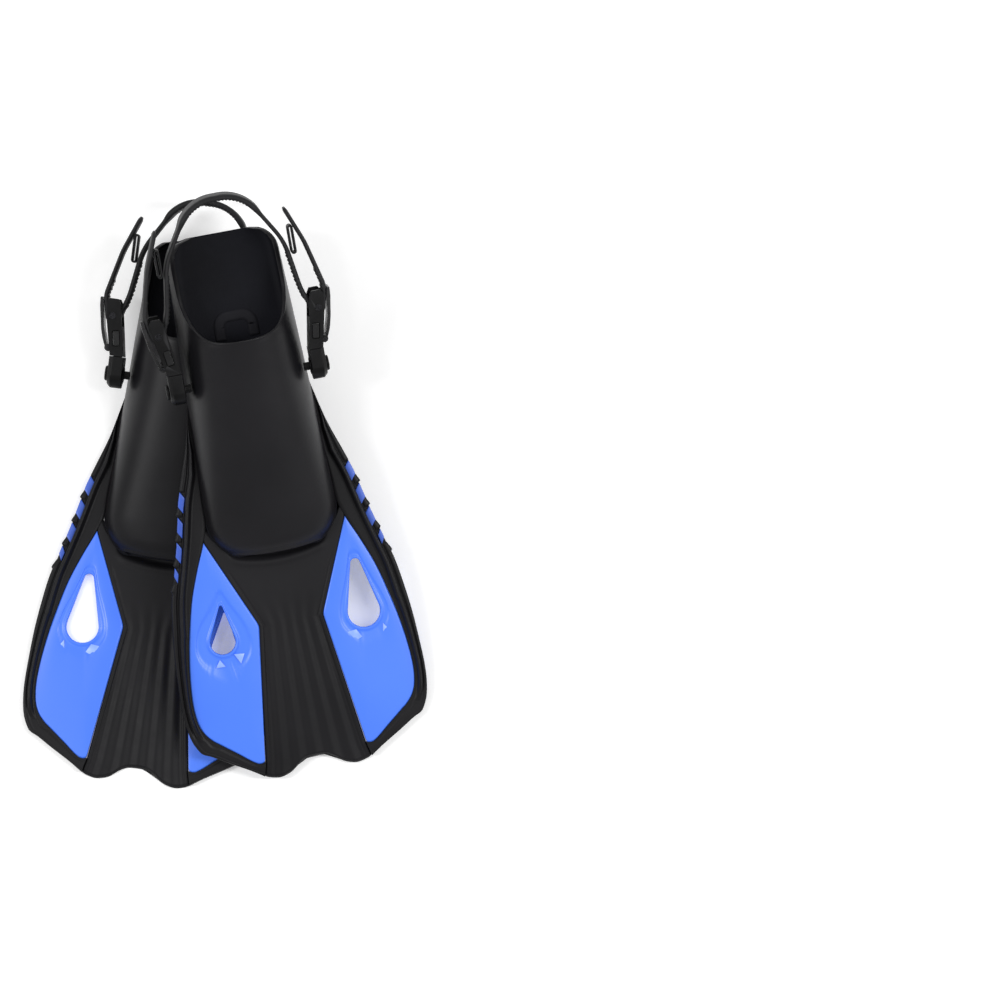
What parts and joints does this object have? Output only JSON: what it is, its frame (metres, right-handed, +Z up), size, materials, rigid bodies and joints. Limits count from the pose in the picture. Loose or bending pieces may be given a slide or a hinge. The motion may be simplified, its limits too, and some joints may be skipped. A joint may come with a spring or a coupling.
{
  "type": "swim fins",
  "caption": "Pair of short open-heel swim fins with black rubber foot pockets, blue vented blade panels and adjustable heel straps with quick-release buckles, laid fanned one on the other.",
  "frame": {"origin": "midway between the heels of the two fins, on the floor, on the underside of the left fin's sole", "axes": "+Z up from the floor, +Y from the blade tips towards the heels, +X towards the outer side of the right fin"},
  "size_m": [0.3497, 0.5053, 0.1628],
  "materials": {
    "pocket_rubber": "satin black moulded rubber",
    "footbed_rubber": "matt blue-black rubber",
    "grip_rubber": "matt dark grey rubber",
    "blade_rubber": "satin black rubber, softly fluted",
    "rail_rubber": "satin black rubber",
    "panel_blue": "bright blue semi-gloss flexible plastic",
    "insert_blue": "bright blue semi-gloss plastic",
    "strap_rubber": "matt dark grey rubber",
    "buckle_plastic": "fine-grained black plastic",
    "lever_plastic": "polished black plastic",
    "button_plastic": "black plastic",
    "post_plastic": "black plastic",
    "pin_steel": "plain stainless steel",
    "spring_steel": "stainless spring wire"
  },
  "bodies": {
    "left_fin": {"left_foot_pocket": "pocket_rubber", "left_footbed": "footbed_rubber", "left_grip_pad": "grip_rubber", "left_blade_channel": "blade_rubber", "left_outer_rail": "rail_rubber", "left_inner_rail": "rail_rubber", "left_outer_rail_inserts": "insert_blue", "left_inner_rail_inserts": "insert_blue", "left_outer_panel": "panel_blue", "left_inner_panel": "panel_blue", "left_outer_post": "post_plastic", "left_inner_post": "post_plastic", "left_post_caps": "post_plastic"},
    "left_strap": {"left_heel_strap": "strap_rubber", "left_strap_keepers": "strap_rubber", "left_strap_bars": "pin_steel", "left_lever_pins": "pin_steel", "left_outer_buckle_frame": "buckle_plastic", "left_inner_buckle_frame": "buckle_plastic"},
    "left_outer_receiver": {"left_outer_receiver": "buckle_plastic"},
    "left_outer_lever": {"left_outer_lever": "lever_plastic"},
    "left_outer_button": {"left_outer_release_button": "button_plastic", "left_outer_button_spring": "spring_steel"},
    "left_inner_receiver": {"left_inner_receiver": "buckle_plastic"},
    "left_inner_lever": {"left_inner_lever": "lever_plastic"},
    "left_inner_button": {"left_inner_release_button": "button_plastic", "left_inner_button_spring": "spring_steel"},
    "right_fin": {"right_foot_pocket": "pocket_rubber", "right_footbed": "footbed_rubber", "right_grip_pad": "grip_rubber", "right_blade_channel": "blade_rubber", "right_outer_rail": "rail_rubber", "right_inner_rail": "rail_rubber", "right_outer_rail_inserts": "insert_blue", "right_inner_rail_inserts": "insert_blue", "right_outer_panel": "panel_blue", "right_inner_panel": "panel_blue", "right_outer_post": "post_plastic", "right_inner_post": "post_plastic", "right_post_caps": "post_plastic"},
    "right_strap": {"right_heel_strap": "strap_rubber", "right_strap_keepers": "strap_rubber", "right_strap_bars": "pin_steel", "right_lever_pins": "pin_steel", "right_outer_buckle_frame": "buckle_plastic", "right_inner_buckle_frame": "buckle_plastic"},
    "right_outer_receiver": {"right_outer_receiver": "buckle_plastic"},
    "right_outer_lever": {"right_outer_lever": "lever_plastic"},
    "right_outer_button": {"right_outer_release_button": "button_plastic", "right_outer_button_spring": "spring_steel"},
    "right_inner_receiver": {"right_inner_receiver": "buckle_plastic"},
    "right_inner_lever": {"right_inner_lever": "lever_plastic"},
    "right_inner_button": {"right_inner_release_button": "button_plastic", "right_inner_button_spring": "spring_steel"}
  },
  "joints": [
    {"name": "left_strap_swing", "type": "hinge", "parent": "left_fin", "child": "left_outer_receiver", "pos_m": [-0.08672, -0.10812, 0.038], "axis": [0.988, -0.1547, 0], "range_deg": [-6, 9]},
    {"name": "left_inner_receiver_swing", "type": "hinge", "parent": "left_fin", "child": "left_inner_receiver", "pos_m": [0.0339, -0.12701, 0.038], "axis": [0.988, -0.1547, 0], "range_deg": [-6, 9]},
    {"name": "left_strap_unclip", "type": "slide", "parent": "left_outer_receiver", "child": "left_strap", "axis": [0.1539, 0.9825, 0.1045], "range_m": [0, 0.012]},
    {"name": "left_outer_lever_hinge", "type": "hinge", "parent": "left_strap", "child": "left_outer_lever", "pos_m": [-0.09159, -0.08521, 0.0403], "axis": [-0.0162, -0.1033, 0.9945], "range_deg": [0, 32]},
    {"name": "left_outer_button_press", "type": "slide", "parent": "left_strap", "child": "left_outer_button", "axis": [0.0162, 0.1033, -0.9945], "range_m": [0, 0.0022], "stiffness_N_per_m": 400},
    {"name": "left_inner_lever_hinge", "type": "hinge", "parent": "left_strap", "child": "left_inner_lever", "pos_m": [0.04554, -0.10669, 0.0403], "axis": [0.0162, 0.1033, -0.9945], "range_deg": [0, 32]},
    {"name": "left_inner_button_press", "type": "slide", "parent": "left_strap", "child": "left_inner_button", "axis": [0.0162, 0.1033, -0.9945], "range_m": [0, 0.0022], "stiffness_N_per_m": 400},
    {"name": "right_fin_lift", "type": "slide", "parent": "left_fin", "child": "right_fin", "axis": [0, 0, 1], "range_m": [0, 0.25]},
    {"name": "right_strap_swing", "type": "hinge", "parent": "right_fin", "child": "right_outer_receiver", "pos_m": [0.09059, -0.11156, 0.09914], "axis": [0.9812, 0.1705, -0.0901], "range_deg": [-6, 75]},
    {"name": "right_inner_receiver_swing", "type": "hinge", "parent": "right_fin", "child": "right_inner_receiver", "pos_m": [-0.02922, -0.13238, 0.11014], "axis": [0.9812, 0.1705, -0.0901], "range_deg": [-6, 75]},
    {"name": "right_strap_unclip", "type": "slide", "parent": "right_outer_receiver", "child": "right_strap", "axis": [-0.1389, 0.9489, 0.2833], "range_m": [0, 0.012]},
    {"name": "right_outer_lever_hinge", "type": "hinge", "parent": "right_strap", "child": "right_outer_lever", "pos_m": [0.09572, -0.08926, 0.10462], "axis": [-0.1338, 0.2655, -0.9548], "range_deg": [0, 32]},
    {"name": "right_outer_button_press", "type": "slide", "parent": "right_strap", "child": "right_outer_button", "axis": [-0.1338, 0.2655, -0.9548], "range_m": [0, 0.0022], "stiffness_N_per_m": 400},
    {"name": "right_inner_lever_hinge", "type": "hinge", "parent": "right_strap", "child": "right_inner_lever", "pos_m": [-0.04047, -0.11293, 0.11713], "axis": [0.1338, -0.2655, 0.9548], "range_deg": [0, 32]},
    {"name": "right_inner_button_press", "type": "slide", "parent": "right_strap", "child": "right_inner_button", "axis": [-0.1338, 0.2655, -0.9548], "range_m": [0, 0.0022], "stiffness_N_per_m": 400}
  ],
  "couplings": [
    {"joint": "left_inner_receiver_swing", "follows": "left_strap_swing", "ratio": 1},
    {"joint": "right_inner_receiver_swing", "follows": "right_strap_swing", "ratio": 1}
  ]
}
